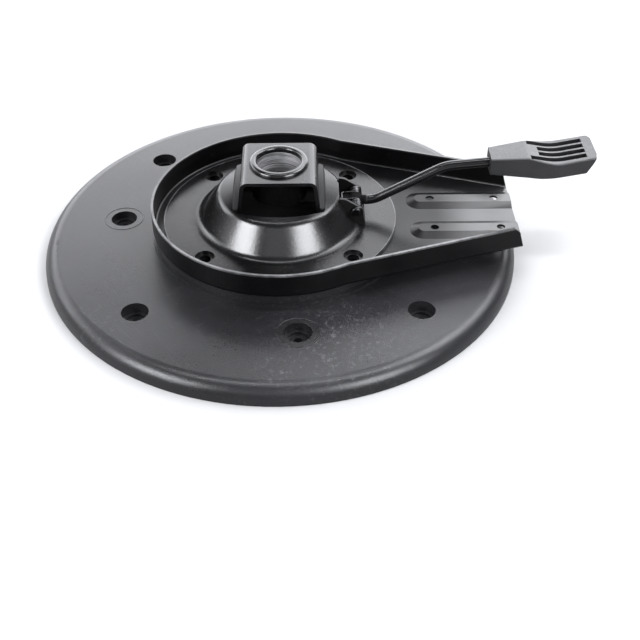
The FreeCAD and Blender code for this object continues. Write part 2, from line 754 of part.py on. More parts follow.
def make_strip(side, word):
    """A weld strip that lies on the crown of the dome along one leg of the bracket."""
    body = new_body("weld_strip_" + word)
    gap = s.strip_clearance
    band = new_sketch(body, "strip_band_" + word, "XZ_Plane")
    low = dome_corners(bracket_half, gap)
    high = dome_corners(bracket_half, gap + s.strip_thickness)
    add_outline(band, [low[1][:2], high[1][:2], high[2], high[3], low[3], low[2]])
    revolve(body, band, "strip_turned_" + word)
    plan = new_sketch(body, "strip_plan_" + word, "XY_Plane", bracket_top)
    outer = leg_face(shoulder_top) + s.strip_width
    half = s.bracket_depth / 2 + s.strip_beyond_leg
    round_end = s.strip_end_round
    add_box(plan, -flange_radius, flange_radius, -flange_radius, flange_radius)
    add_outline(plan, [(bracket_half * side, -half), (outer * side, -half, round_end),
                       (outer * side, half, round_end), (bracket_half * side, half)])
    pocket(body, plan, "strip_trim_" + word)
    # The inner side follows the slant of the leg
    slant = new_sketch(body, "strip_slant_" + word, "XZ_Plane")
    add_outline(slant, [(0, leg_end), ((leg_face(leg_end) + gap) * side, leg_end),
                        ((leg_face(bracket_top) + gap) * side, bracket_top), (0, bracket_top)])
    cut = pocket(body, slant, "strip_side_" + word, symmetric=True)
    doc.recompute()
    top = max(cut.Shape.Faces, key=lambda face: face.CenterOfMass.z)
    inner_x = min(abs(edge.CenterOfMass.x) for edge in top.Edges)

    def outer_edge(edge):
        """The edges of the strip's top, apart from the one along the leg."""
        on_top = any(edge.isSame(other) for other in top.Edges)
        return on_top and abs(edge.CenterOfMass.x) > inner_x + gap.value

    rounded(body, cut, "strip_edges_" + word, outer_edge, s.strip_edge_round)
    return body


def make_yoke():
    """The folded yoke that stands in the dome's window and holds the pivot pin."""
    body = new_body("lever_yoke")
    inner = window_inner + s.yoke_clearance
    outer = window_outer - s.yoke_clearance
    form = new_sketch(body, "yoke_form", "XZ_Plane")
    crest = s.pivot_x - s.cheek_crest_back
    add_outline(form, [(inner, tray_floor), (outer, tray_floor),
                       (s.pivot_x + s.cheek_front_reach, pivot_height + s.cheek_front_rise,
                        s.cheek_round),
                       (crest, pivot_height + s.cheek_crest_rise, s.cheek_round),
                       (inner, pivot_height + s.cheek_inner_rise)])
    pad(body, form, "yoke_block", s.yoke_half_width * 2, symmetric=True)
    gap = new_sketch(body, "yoke_gap_form", "XY_Plane", bracket_top)
    inside = s.yoke_half_width - s.yoke_sheet
    add_box(gap, inner - 1, outer + 1, -inside, inside)
    pocket(body, gap, "yoke_gap", bracket_top - tray_floor - s.yoke_sheet)
    hole = new_sketch(body, "yoke_hole_form", "XZ_Plane")
    add_circle(hole, s.pivot_x, pivot_height, pin_bore_radius)
    pocket(body, hole, "yoke_holes", symmetric=True)
    return body


def make_pin():
    """The riveted pin: a domed head in front and an upset end behind."""
    body = new_body("pivot_pin")
    form = new_sketch(body, "pin_form", "XY_Plane", pivot_height, s.pivot_x)
    face = s.yoke_half_width + s.pin_clearance
    head = -face - s.pin_head_height
    end = face + s.pin_end_height
    add_outline(form, [(0, head), (s.pin_head_radius, head, s.pin_head_height * 0.9),
                       (s.pin_head_radius, -face), (s.pin_radius, -face),
                       (s.pin_radius, face), (s.pin_end_radius, face),
                       (s.pin_end_radius, end, s.pin_end_height / 2), (0, end)])
    revolve(body, form, "pin_turned")
    return body


def make_rod():
    """The bent rod with its eye on the pin and the flat presser under the socket."""
    body = new_body("lever_rod")
    path = new_sketch(body, "rod_path", "XZ_Plane")
    grip_end = handle_root + s.rod_in_handle
    add_path(path, [(s.pivot_x, pivot_height), (rise_start, pivot_height, s.rod_lower_bend),
                    (rise_end, rise_end_height, s.rod_upper_bend),
                    (grip_end, rise_end_height + (grip_end - rise_end) * grip_slope)])
    ring = new_sketch(body, "rod_section", "YZ_Plane", s.pivot_x)
    add_circle(ring, 0, pivot_height, s.rod_radius)
    sweep = body.newObject("PartDesign::AdditivePipe", "rod_swept")
    sweep.Profile = ring
    sweep.Spine = path
    eye = new_sketch(body, "eye_form", "XZ_Plane")
    add_circle(eye, s.pivot_x, pivot_height, s.hub_outer_radius)
    pad(body, eye, "eye", s.hub_half_length * 2, symmetric=True)
    flat = new_sketch(body, "presser_form", "XY_Plane", pivot_height - s.presser_thickness / 2)
    half = s.presser_half_width
    bend = half * 0.9
    add_outline(flat, [(-s.presser_past_axis, -half, bend), (window_inner, -half),
                       (s.pivot_x, -s.hub_half_length), (s.pivot_x, s.hub_half_length),
                       (window_inner, half), (-s.presser_past_axis, half, bend)])
    pad(body, flat, "presser", s.presser_thickness)
    hole = new_sketch(body, "eye_hole_form", "XZ_Plane")
    add_circle(hole, s.pivot_x, pivot_height, pin_bore_radius)
    pocket(body, hole, "eye_hole", symmetric=True)
    return body


def add_path(sketch, points):
    """An open path of straight runs joined by tangent arcs."""
    places = [FreeCAD.Vector(p[0].value, p[1].value, 0) for p in points]
    edges = []
    start = places[0]
    for i in range(1, len(points)):
        before = (places[i] - places[i - 1]).normalize()
        if i == len(points) - 1:
            edges.append(sketch.addGeometry(Part.LineSegment(start, places[i])))
            continue
        after = (places[i + 1] - places[i]).normalize()
        radius = points[i][2].value
        cut = radius * math.tan(before.getAngle(after) / 2)
        stop = places[i] - before * cut
        edges.append(sketch.addGeometry(Part.LineSegment(start, stop)))
        start = places[i] + after * cut
        left_turn = before.cross(after).z > 0
        side = FreeCAD.Vector(-before.y, before.x, 0) * (1 if left_turn else -1)
        centre = stop + side * radius
        first, second = (stop, start) if left_turn else (start, stop)
        low = math.atan2(first.y - centre.y, first.x - centre.x)
        high = math.atan2(second.y - centre.y, second.x - centre.x)
        circle = Part.Circle(centre, FreeCAD.Vector(0, 0, 1), radius)
        edges.append(sketch.addGeometry(Part.ArcOfCircle(circle, low, high)))
        points[i] = points[i] + (left_turn,)
    for i in range(1, len(points) - 1):
        last, arc, following = edges[2 * i - 2], edges[2 * i - 1], edges[2 * i]
        across, up, radius, left_turn = points[i]
        from_end, to_end = (1, 2) if left_turn else (2, 1)
        corner = sketch.addGeometry(Part.Point(places[i]), True)
        place(sketch, corner, 1, across, up)
        sketch.addConstraint(Sketcher.Constraint("PointOnObject", corner, 1, last))
        sketch.addConstraint(Sketcher.Constraint("PointOnObject", corner, 1, following))
        sketch.addConstraint(Sketcher.Constraint("Tangent", last, 2, arc, from_end))
        sketch.addConstraint(Sketcher.Constraint("Tangent", arc, to_end, following, 1))
        bind(sketch, "Radius", arc, radius)
    place(sketch, edges[0], 1, points[0][0], points[0][1])
    place(sketch, edges[-1], 2, points[-1][0], points[-1][1])


def make_handle():
    """The moulded grip: a narrow root, a waist, a slanted pad and finger slots."""
    body = new_body("lever_handle")
    ceiling = handle_top * 2
    plan = new_sketch(body, "handle_plan", "XY_Plane")
    side_round = s.handle_side_round
    corner_round = s.handle_corner_round
    add_outline(plan, [(handle_root, -s.handle_root_half),
                       (handle_waist, -s.handle_waist_half, side_round),
                       (handle_pad, -s.handle_pad_half, side_round),
                       (handle_nose, -s.handle_end_half, corner_round),
                       (handle_nose, s.handle_end_half, corner_round),
                       (handle_pad, s.handle_pad_half, side_round),
                       (handle_waist, s.handle_waist_half, side_round),
                       (handle_root, s.handle_root_half)])
    pad(body, plan, "handle_block", ceiling)
    side = new_sketch(body, "handle_side", "XZ_Plane")
    waist_top = grip_height + s.handle_waist_above
    pad_top = grip_height + s.handle_pad_above
    add_box(side, handle_root - 1, handle_nose + 1, -1, ceiling + 1)
    add_outline(side, [(handle_root, grip_height - s.handle_root_below),
                       (handle_waist + s.handle_belly_behind, grip_height - s.handle_belly_below,
                        s.handle_belly_round),
                       (handle_nose - s.handle_end_slant, grip_height - s.handle_end_below),
                       (handle_nose, handle_top),
                       (handle_pad, pad_top, s.handle_pad_round),
                       (handle_waist, waist_top, s.handle_waist_round),
                       (handle_root, grip_height + s.handle_root_above)])
    cut = pocket(body, side, "handle_side_cut", symmetric=True)
    doc.recompute()

    def long_edge(edge):
        """The long edges of the grip along both flanks."""
        return edge.BoundBox.XLength > edge.BoundBox.ZLength and edge.BoundBox.YLength < 5

    rounded(body, cut, "handle_edges", long_edge, s.handle_edge_round)
    # Finger slots of even depth, the two middle ones shorter; the outer ones start near the flanks
    dip_slope = (pad_top - waist_top) / s.handle_dip
    tip_slope = (handle_top - pad_top) / s.handle_tip
    flank_slope = (s.handle_pad_half - s.handle_waist_half) / s.handle_dip
    outer_side = s.handle_waist_half + s.slot_from_waist * flank_slope - s.slot_side_wall
    pitch = (outer_side - s.slot_width / 2) / OUTER_STEP
    end = handle_nose - s.slot_from_nose
    for number, step in enumerate((-OUTER_STEP, -0.5, 0.5, OUTER_STEP), start=1):
        start = handle_waist + s.slot_from_waist
        if abs(step) < OUTER_STEP:
            start = start + pitch
        slot = new_sketch(body, "slot_form_%d" % number, "XZ_Plane", pitch * step)
        floor_start = pad_top + (start - handle_pad) * dip_slope - s.slot_depth
        floor_end = pad_top + (end - handle_pad) * tip_slope - s.slot_depth
        add_outline(slot, [(start, ceiling), (start, floor_start, s.slot_end_round),
                           (handle_pad, pad_top - s.slot_depth, s.handle_pad_round),
                           (end, floor_end, s.slot_end_round), (end, ceiling)])
        pocket(body, slot, "finger_slot_%d" % number, s.slot_width, symmetric=True)
    # Socket for the rod, along the rod's last straight run
    slope = math.degrees(math.atan(grip_slope.value))
    before = handle_root - s.rod_radius
    bore = body.newObject("PartDesign::SubtractiveCylinder", "rod_bore")
    bore.setExpression("Radius", (s.rod_radius + s.handle_bore_clearance).text)
    bore.Placement = FreeCAD.Placement(FreeCAD.Vector(0, 0, 0),
                                       FreeCAD.Rotation(FreeCAD.Vector(0, 1, 0), 90 - slope))
    bore.setExpression("Height", "%s / cos(atan(%s))"
                       % ((s.rod_in_handle + s.rod_radius + s.handle_bore_clearance).text,
                          grip_slope.text))
    bore.setExpression("Placement.Base.x", before.text)
    bore.setExpression("Placement.Base.z",
                       (rise_end_height + (before - rise_end) * grip_slope).text)
    return body


def biarc(start, start_way, stop, stop_way):
    """Two tangent arcs from one point and direction to the next."""
    span = stop - start
    ways = start_way + stop_way
    spread = 2 * (1 - start_way.dot(stop_way))
    if spread < 1e-9:
        return [Part.LineSegment(start, stop).toShape()]
    along = span.dot(ways)
    reach = (math.sqrt(along * along + spread * span.dot(span)) - along) / spread
    middle = (start + stop + (start_way - stop_way) * reach) * 0.5
    return [arc_from(start, start_way, middle), arc_from(stop, stop_way * -1, middle)]


def arc_from(start, way, stop):
    """The arc that leaves start along way and ends at stop, in that order."""
    chord = stop - start
    normal = chord - way * chord.dot(way)
    centre = start + normal * (chord.dot(chord) / (2 * normal.dot(normal)))
    radius = (start - centre).Length
    crest = centre + ((start + stop) * 0.5 - centre).normalize() * radius
    return Part.Arc(start, crest, stop).toShape()


def spring_nodes(side):
    """Points and directions of one coil, from its foot on the yoke to its arm on the presser."""
    radius = s.coil_radius.value
    pivot = FreeCAD.Vector(s.pivot_x.value, 0, pivot_height.value)
    inside = s.yoke_half_width.value - s.yoke_sheet.value
    outer = inside - s.coil_side_gap.value - s.wire_radius.value
    pitch = s.coil_pitch.value
    # The arm leaves the coil where its straight run ends just above the presser
    arm = s.spring_arm.value
    above = (s.presser_thickness / 2 + s.wire_radius + s.spring_seat_gap).value
    leave = math.pi - math.asin(above / math.hypot(radius, arm)) - math.atan2(arm, radius)
    total = s.coil_turns.value + leave / (2 * math.pi)
    quarters = int(s.coil_turns.value * 4)
    web_top = (tray_floor + s.yoke_sheet).value
    foot = FreeCAD.Vector(pivot.x + radius, side * outer, web_top + s.spring_seat_gap.value)
    nodes = [(foot, FreeCAD.Vector(0, 0, 1))]
    turns = [0.25 * i for i in range(quarters + 1)] + [total]
    for turn in turns:
        angle = 2 * math.pi * turn
        out = FreeCAD.Vector(math.cos(angle), 0, math.sin(angle))
        depth = side * (outer - pitch * turn)
        point = pivot + out * radius + FreeCAD.Vector(0, depth, 0)
        way = FreeCAD.Vector(-math.sin(angle), 0, math.cos(angle))
        if 0 < turn < total:
            way = way - FreeCAD.Vector(0, side * pitch / (2 * math.pi * radius), 0)
        nodes.append((point, way.normalize()))
    return nodes


def make_spring():
    """The double torsion spring: one wire, two coils on the pin and a bridge on the presser."""
    front = spring_nodes(-1)
    rear = spring_nodes(1)
    point, way = front[-1]
    tip = point + way * s.spring_arm.value
    bend = s.spring_bend.value
    across = FreeCAD.Vector(0, 1, 0)
    corner = point + way * (s.spring_arm.value - bend)
    front.append((corner, way))
    front.append((tip + across * bend, across))
    mirror_tip = FreeCAD.Vector(tip.x, -tip.y, tip.z)
    nodes = front + [(mirror_tip - across * bend, across),
                     (FreeCAD.Vector(corner.x, -corner.y, corner.z), way * -1)]
    for point, way in reversed(rear):
        nodes.append((point, way * -1))
    edges = []
    for i in range(len(nodes) - 1):
        edges += biarc(nodes[i][0], nodes[i][1], nodes[i + 1][0], nodes[i + 1][1])
    path = Part.Wire(Part.__sortEdges__(edges))
    foot, way = nodes[0]
    ring = Part.Wire(Part.Circle(foot, way, s.wire_radius.value).toShape())
    spring = doc.addObject("Part::Feature", "return_spring")
    spring.Label = "return_spring"
    spring.Shape = path.makePipeShell([ring], True, False)
    print("spring wire %.1f mm, least gap to itself %.2f mm"
          % (path.Length, wire_gap(path, s.wire_radius.value)))
    return spring


def wire_gap(path, wire):
    """The least gap between stretches of the wire that aren't neighbours."""
    step = wire / 2
    points = path.discretize(Distance=step)
    apart = int(8 * wire / step)
    least = 1e9
    for i, point in enumerate(points):
        for other in points[i + apart:]:
            least = min(least, (point - other).Length)
    return least - 2 * wire


def check(features):
    """Every object has computed, and every piece is one valid solid."""
    for item in doc.Objects:
        for word in ("Invalid", "Error"):
            if word in item.State:
                raise RuntimeError("%s failed: %s" % (item.Name, item.State))
    for feature in features:
        shape = feature.Shape
        if shape.isNull() or not shape.isValid() or len(shape.Solids) != 1:
            raise RuntimeError("%s is not one valid solid" % feature.Label)


def main():
    pieces = [make_disc()]
    for number, (across, up) in enumerate(insert_places(), start=1):
        pieces.append(make_insert(number, across, up))
    pieces += [make_tray(), make_dome(), make_bracket(), make_socket()]
    pieces += [make_strip(1, "right"), make_strip(-1, "left")]
    pieces += [make_yoke(), make_pin(), make_rod(), make_handle(), make_spring()]
    doc.recompute()
    check(pieces)
    os.makedirs("parts", exist_ok=True)
    for piece in pieces:
        piece.Shape.exportStep("parts/%s.step" % piece.Label)
        box = piece.Shape.BoundBox
        print("%-16s volume %9.1f  x %.1f %.1f  y %.1f %.1f  z %.1f %.1f"
              % (piece.Label, piece.Shape.Volume, box.XMin, box.XMax,
                 box.YMin, box.YMax, box.ZMin, box.ZMax))


main()
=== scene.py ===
import json
import math

import bmesh
import bpy
from mathutils import Matrix, Vector
from mathutils.bvhtree import BVHTree


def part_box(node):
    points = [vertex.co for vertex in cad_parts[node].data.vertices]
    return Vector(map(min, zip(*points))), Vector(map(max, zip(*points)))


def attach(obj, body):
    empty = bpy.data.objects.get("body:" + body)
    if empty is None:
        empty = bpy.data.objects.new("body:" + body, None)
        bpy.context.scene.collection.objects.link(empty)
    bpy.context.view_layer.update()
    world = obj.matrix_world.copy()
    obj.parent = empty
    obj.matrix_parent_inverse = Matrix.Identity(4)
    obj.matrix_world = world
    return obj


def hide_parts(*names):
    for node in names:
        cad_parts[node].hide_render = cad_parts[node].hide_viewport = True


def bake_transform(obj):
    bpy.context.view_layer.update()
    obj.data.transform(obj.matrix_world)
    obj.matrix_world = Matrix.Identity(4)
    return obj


# Seat plate of a gas-lift stool, dressed for a studio picture. Lengths are metres in Blender,
# and millimetres where a name ends in _MM.

MM = 0.001
PLATE = "plate"


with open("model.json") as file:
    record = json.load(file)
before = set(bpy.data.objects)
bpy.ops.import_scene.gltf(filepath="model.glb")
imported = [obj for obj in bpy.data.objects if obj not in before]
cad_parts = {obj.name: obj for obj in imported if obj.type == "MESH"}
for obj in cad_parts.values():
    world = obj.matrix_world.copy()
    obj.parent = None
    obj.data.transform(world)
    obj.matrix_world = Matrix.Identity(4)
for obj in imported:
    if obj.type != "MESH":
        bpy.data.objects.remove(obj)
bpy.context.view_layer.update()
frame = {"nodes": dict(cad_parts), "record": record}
nodes = frame["nodes"]


def low_corner(name):
    return Vector(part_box(name)[0])


def high_corner(name):
    return Vector(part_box(name)[1])


def mount_sizes(name):
    return next(mount["dims"] for mount in frame["record"]["mounts"] if mount["name"] == name)


# Places that the finishes and pieces below are set against
DISC_TOP = high_corner("disc_insert_1").z
SOCKET_MOUTH = high_corner("taper_socket").z
TRAY_TOP = high_corner("tray").z
FLANGE_RADIUS = high_corner("dome_plate").y
BORE_RADIUS = mount_sizes("gas_socket")["r_mm"] * MM
PIVOT_X = (low_corner("pivot_pin").x + high_corner("pivot_pin").x) / 2
INSERTS = [name for name in nodes if name.startswith("disc_insert")]


# Nodes of one material

class Finish:
    """One procedural material, with short names for the nodes that it needs."""

    def __init__(self, name):
        self.material = bpy.data.materials.new(name)
        self.material.use_nodes = True
        self.tree = self.material.node_tree
        self.shader = self.tree.nodes["Principled BSDF"]
        self.place = self.tree.nodes.new("ShaderNodeTexCoord").outputs["Object"]

    def put(self, target, value):
        """Links value to target where it comes from a node, and else sets it."""
        if isinstance(value, bpy.types.NodeSocket):
            self.tree.links.new(value, target)
        else:
            target.default_value = value

    def set(self, socket, value):
        self.put(self.shader.inputs[socket], value)

    def held(self, socket):
        """What the shader's socket holds so far, linked or set."""
        target = self.shader.inputs[socket]
        return target.links[0].from_socket if target.links else target.default_value

    def combine(self, operation, first, second=0.0, clamp=False):
        node = self.tree.nodes.new("ShaderNodeMath")
        node.operation = operation
        node.use_clamp = clamp
        self.put(node.inputs[0], first)
        self.put(node.inputs[1], second)
        return node.outputs[0]

    def times(self, first, second):
        return self.combine("MULTIPLY", first, second)

    def plus(self, first, second, clamp=False):
        return self.combine("ADD", first, second, clamp)

    def larger(self, first, second):
        return self.combine("MAXIMUM", first, second)

    def spread(self, value, low, high, to_low, to_high):
        """value between low and high, as a number between to_low and to_high."""
        node = self.tree.nodes.new("ShaderNodeMapRange")
        node.interpolation_type = "SMOOTHSTEP"
        for socket, item in zip(node.inputs[:5], (value, low, high, to_low, to_high)):
            self.put(socket, item)
        return node.outputs["Result"]

    def rise(self, value, start, end):
        """0 where value is below start, 1 where it is above end."""
        return self.spread(value, start, end, 0.0, 1.0)

    def fall(self, value, start, end):
        """1 where value is below start, 0 where it is above end."""
        return self.spread(value, start, end, 1.0, 0.0)

    def blend(self, factor, first, second):
        """Two colours, mixed by factor."""
        node = self.tree.nodes.new("ShaderNodeMix")
        node.data_type = "RGBA"
        self.put(node.inputs["Factor"], factor)
        for socket, value in ((node.inputs["A"], first), (node.inputs["B"], second)):
            self.put(socket, value if isinstance(value, bpy.types.NodeSocket) else (*value, 1.0))
        return node.outputs["Result"]

    def level(self, factor, first, second):
        """Two numbers, mixed by factor."""
        node = self.tree.nodes.new("ShaderNodeMix")
        self.put(node.inputs["Factor"], factor)
        self.put(node.inputs["A"], first)
        self.put(node.inputs["B"], second)
        return node.outputs["Result"]

    def bump(self, height, depth, strength=1.0, over=None):
        """A normal bent by height, on top of the normal over where there is one."""
        node = self.tree.nodes.new("ShaderNodeBump")
        node.inputs["Distance"].default_value = depth
        node.inputs["Strength"].default_value = strength
        self.put(node.inputs["Height"], height)
        if over is not None:
            self.put(node.inputs["Normal"], over)
        return node.outputs["Normal"]

    def mapped(self, kind, scale, turn=0.0):
        """The place, scaled along each axis and turned about the vertical one.

        POINT multiplies by the scale and TEXTURE divides by it.
        """
        node = self.tree.nodes.new("ShaderNodeMapping")
        node.vector_type = kind
        self.put(node.inputs["Vector"], self.place)
        node.inputs["Scale"].default_value = scale
        node.inputs["Rotation"].default_value = (0.0, 0.0, turn)
        return node.outputs["Vector"]

    def noise(self, scale, detail=3.0, roughness=0.5, place=None):
        node = self.tree.nodes.new("ShaderNodeTexNoise")
        self.put(node.inputs["Vector"], self.place if place is None else place)
        node.inputs["Scale"].default_value = scale
        node.inputs["Detail"].default_value = detail
        node.inputs["Roughness"].default_value = roughness
        return node.outputs["Fac"]

    def specks(self, scale, size):
        """Small round specks, one where a cell's middle is near."""
        node = self.tree.nodes.new("ShaderNodeTexVoronoi")
        self.put(node.inputs["Vector"], self.place)
        node.inputs["Scale"].default_value = scale
        return self.fall(node.outputs["Distance"], 0.0, size)

    def dust(self, scale, size, patch_scale, start, end, strength):
        """Specks that lie in patches."""
        patches = self.rise(self.noise(patch_scale), start, end)
        return self.times(self.times(self.specks(scale, size), patches), strength)

    def scratches(self, length, width, turn, start):
        """Fine straight scratches: noise drawn out along one way, only its peaks."""
        drawn_out = self.mapped("TEXTURE", scale=(length, width, width), turn=turn)
        drawn = self.noise(scale=1.0, detail=1.0, place=drawn_out)
        return self.rise(drawn, start, start + SCRATCH_EDGE)

    def axis_part(self, vector, axis):
        """How long a vector is along one axis."""
        node = self.tree.nodes.new("ShaderNodeSeparateXYZ")
        self.put(node.inputs[0], vector)
        return node.outputs[axis]

    def across(self, axis):
        """The place along one axis."""
        return self.axis_part(self.place, axis)

    def facing_up(self):
        """1 where the surface is level, 0 where it is upright."""
        normal = self.tree.nodes.new("ShaderNodeNewGeometry").outputs["Normal"]
        return self.combine("ABSOLUTE", self.axis_part(normal, "Z"))

    def from_axis(self):
        """How far a point lies from the socket's axis, which is vertical."""
        x, y = self.across("X"), self.across("Y")
        return self.combine("SQRT", self.plus(self.times(x, x), self.times(y, y)))

    def near(self, middle, radius):
        """1 at middle, falling to 0 at radius."""
        node = self.tree.nodes.new("ShaderNodeVectorMath")
        node.operation = "DISTANCE"
        self.put(node.inputs[0], self.place)
        node.inputs[1].default_value = middle
        return self.fall(node.outputs["Value"], 0.0, radius)

    def close_to(self, value, edge, band):
        """1 where value comes close to edge, 0 further below. The band says how far below."""
        start, full = band
        return self.rise(value, edge - start, edge - full)

    def weather(self, color, soft, marks, pale, cover, rougher):
        """Sets colour and roughness: the marks turn pale by up to cover, and rougher."""
        self.set("Base Color", self.blend(self.times(marks, cover), color, pale))
        self.set("Roughness", self.plus(soft, self.times(marks, rougher), clamp=True))

    def wear_and_painted_highlight(self, where, amount):
        """Paints the colour pale in patches, up to amount times where (0 to 1): painted
        highlight, wear.
        """
        paint = self.held("Base Color")
        patches = self.spread(self.noise(scale=70.0, detail=4.0, roughness=0.7),
                              *WEAR_AND_HIGHLIGHT_RANGE, LEAST_WEAR_AND_HIGHLIGHT * amount, amount)
        self.set("Base Color", self.blend(self.times(where, patches), paint, PALE_WEAR_AND_HIGHLIGHT))

    def dull_within(self, radius):
        """Dulls what lies within radius of the axis, as steel that is only primed."""
        dull = self.fall(self.from_axis(), radius - DULL_EDGE, radius)
        for socket, value in (("Roughness", DULL_ROUGHNESS), ("Specular IOR Level", DULL_GLOSS)):
            self.set(socket, self.level(dull, self.held(socket), value))

    def gloss_by_slope(self, side, flat, slope):
        """One gloss for what faces sideways and another for what faces up."""
        self.set("Specular IOR Level", self.spread(self.facing_up(), *slope, side, flat))


# Looks of plastic, paint and steel

WORN_PLASTIC = (0.14, 0.14, 0.145)
WORN_PAINT = (0.08, 0.08, 0.083)
# Pale grey of worn paint, which also serves as a painted highlight on edges
PALE_WEAR_AND_HIGHLIGHT = (0.42, 0.42, 0.43)
BORE_DARK = (0.13, 0.13, 0.132)
BORE_LIGHT = (0.62, 0.62, 0.63)
COAT_ROUGHNESS = 0.12
DULL_ROUGHNESS = 0.9
DULL_GLOSS = 0.08
DULL_EDGE = 2 * MM
GRAIN_ROUGHNESS = 0.06
HAIRLINE_STRENGTH = 0.3
SCRATCH_EDGE = 0.05
# The least share of the pale patches of wear and painted highlight
LEAST_WEAR_AND_HIGHLIGHT = 0.25

# Noise values over which one look turns into another. Few values lie outside the first range.
NOISE_RANGE = (0.3, 0.7)
TONE_RANGE = (0.35, 0.65)
# The next range shapes the patches of wear and of painted highlight on edges
WEAR_AND_HIGHLIGHT_RANGE = (0.35, 0.6)

# How far a surface faces up where the gloss of a slope turns into that of a flat
STEEL_SLOPE = (0.72, 0.96)
TRAY_SLOPE = (0.35, 0.8)
PLASTIC_SLOPE = (0.3, 0.8)


def moulded_plastic(name, dark, light, rough, grain, grain_depth, gloss, side_gloss, scuffs=()):
    """Moulded plastic: fine grain, cloudy sheen, hairline scratches and a little dust.

    Each scuff is a middle, a radius and a strength.
    """
    finish = Finish(name)
    clouds = finish.noise(scale=14.0, detail=4.0, roughness=0.6)
    fine = finish.noise(scale=grain, detail=2.0, roughness=0.7)
    color = finish.blend(finish.rise(clouds, *TONE_RANGE), dark, light)
    hairlines = finish.larger(
        finish.scratches(length=0.014, width=0.0004, turn=0.5, start=0.73),
        finish.scratches(length=0.022, width=0.0004, turn=-0.9, start=0.73))
    dust = finish.dust(scale=420.0, size=0.17, patch_scale=40.0, start=0.50, end=0.68,
                       strength=0.7)
    marks = finish.larger(finish.times(hairlines, HAIRLINE_STRENGTH), dust)
    rubbed = finish.rise(finish.noise(scale=300.0, detail=8.0, roughness=0.8), 0.52, 0.68)
    for middle, radius, strength in scuffs:
        spot = finish.times(finish.near(middle, radius), strength)
        marks = finish.larger(marks, finish.times(spot, rubbed))
    soft = finish.plus(finish.spread(clouds, *NOISE_RANGE, *rough),
                       finish.spread(fine, *NOISE_RANGE, -GRAIN_ROUGHNESS, GRAIN_ROUGHNESS))
    finish.weather(color, soft, marks, pale=WORN_PLASTIC, cover=0.7, rougher=0.18)
    finish.gloss_by_slope(side=side_gloss, flat=gloss, slope=PLASTIC_SLOPE)
    grained = finish.bump(fine, grain_depth)
    finish.set("Normal", finish.bump(marks, depth=0.00002, strength=0.5, over=grained))
    return finish


def painted_steel(name, dark, light, rough, peel_depth, coat=0.0, rub=0.0, gloss=0.5):
    """Black paint on steel: a faint orange peel, cloudy sheen, hairline scratches and dust.

    rub is how pale the paint goes in the patches where it is rubbed.
    """
    finish = Finish(name)
    clouds = finish.noise(scale=22.0, detail=4.0, roughness=0.55)
    peel = finish.noise(scale=520.0, detail=2.0, roughness=0.5)
    color = finish.blend(finish.rise(clouds, *TONE_RANGE), dark, light)
    hairlines = finish.scratches(length=0.025, width=0.0005, turn=1.1, start=0.72)
    dust = finish.dust(scale=500.0, size=0.14, patch_scale=55.0, start=0.55, end=0.7,
                       strength=0.6)
    marks = finish.larger(finish.times(hairlines, HAIRLINE_STRENGTH), dust)
    if rub > 0.0:
        patches = finish.noise(scale=90.0, detail=5.0, roughness=0.7)
        marks = finish.larger(marks, finish.spread(patches, 0.62, 0.75, 0.0, rub))
    soft = finish.spread(clouds, *NOISE_RANGE, *rough)
    finish.weather(color, soft, marks, pale=WORN_PAINT, cover=0.45, rougher=0.15)
    finish.set("Specular IOR Level", gloss)
    finish.set("Coat Weight", coat)
    finish.set("Coat Roughness", COAT_ROUGHNESS)
    finish.set("Normal", finish.bump(peel, peel_depth))
    return finish


def bare_steel(name, dark, light, rough):
    """Bare steel, cloudy and faintly rough."""
    finish = Finish(name)
    clouds = finish.noise(scale=60.0, detail=4.0, roughness=0.6)
    fine = finish.noise(scale=900.0, detail=3.0, roughness=0.6)
    finish.set("Base Color", finish.blend(finish.rise(clouds, *NOISE_RANGE), dark, light))
    finish.set("Metallic", 1.0)
    finish.set("Roughness", finish.spread(clouds, *NOISE_RANGE, *rough))
    finish.set("Normal", finish.bump(fine, depth=0.00001))
    return finish


# Finishes of the sub-parts, with the places where they change

DISC_SCUFFS = (
    (Vector((38 * MM, -112 * MM, DISC_TOP)), 60 * MM, 0.7),
    (Vector((1 * MM, -133 * MM, DISC_TOP)), 22 * MM, 0.6),
    (Vector((-108 * MM, -98 * MM, DISC_TOP)), 34 * MM, 0.4),
)
CROWN_RADIUS = 46 * MM
CROWN_GLOSS = 0.12
DOME_FOOT_RADIUS = 60 * MM
FLANGE_GLOSS = 0.33
# Band of the painted highlight at the flange's edge
FLANGE_HIGHLIGHT_BAND = (0.8 * MM, 0.3 * MM)
TRAY_ROUND_RADIUS = 98 * MM
TRAY_ROUND_GLOSS = 0.22
TRAY_TAIL_RADIUS = 130 * MM
TRAY_TAIL_GLOSS = 0.88
TRAY_EDGE_GLOSS = 0.7
TRAY_EDGE_BAND = (1.5 * MM, 0.7 * MM)
TRAY_FRONT_Y = -20 * MM
TRAY_BACK_Y = 40 * MM
# Share of the painted highlight on the tray's top edge that is left at the back
TRAY_BACK_HIGHLIGHT_SHARE = 0.15
BORE_EDGE = (BORE_RADIUS + 0.1 * MM, BORE_RADIUS + 0.5 * MM)
LIP_EDGE = (SOCKET_MOUTH - 3.8 * MM, SOCKET_MOUTH - 3.2 * MM)
RINGS_SHARE = 0.65
ROD_DULL_RADIUS = PIVOT_X + 8 * MM


def disc_finish():
    return moulded_plastic("disc_plastic", dark=(0.0075, 0.0075, 0.0085),
                           light=(0.0105, 0.0105, 0.0120), rough=(0.32, 0.40),
                           grain=1100.0, grain_depth=0.00008,
                           gloss=0.50, side_gloss=0.25, scuffs=DISC_SCUFFS)


def insert_finish():
    return moulded_plastic("insert_plastic", dark=(0.006, 0.006, 0.007),
                           light=(0.009, 0.009, 0.010), rough=(0.33, 0.41),
                           grain=900.0, grain_depth=0.00010, gloss=0.52, side_gloss=0.3)


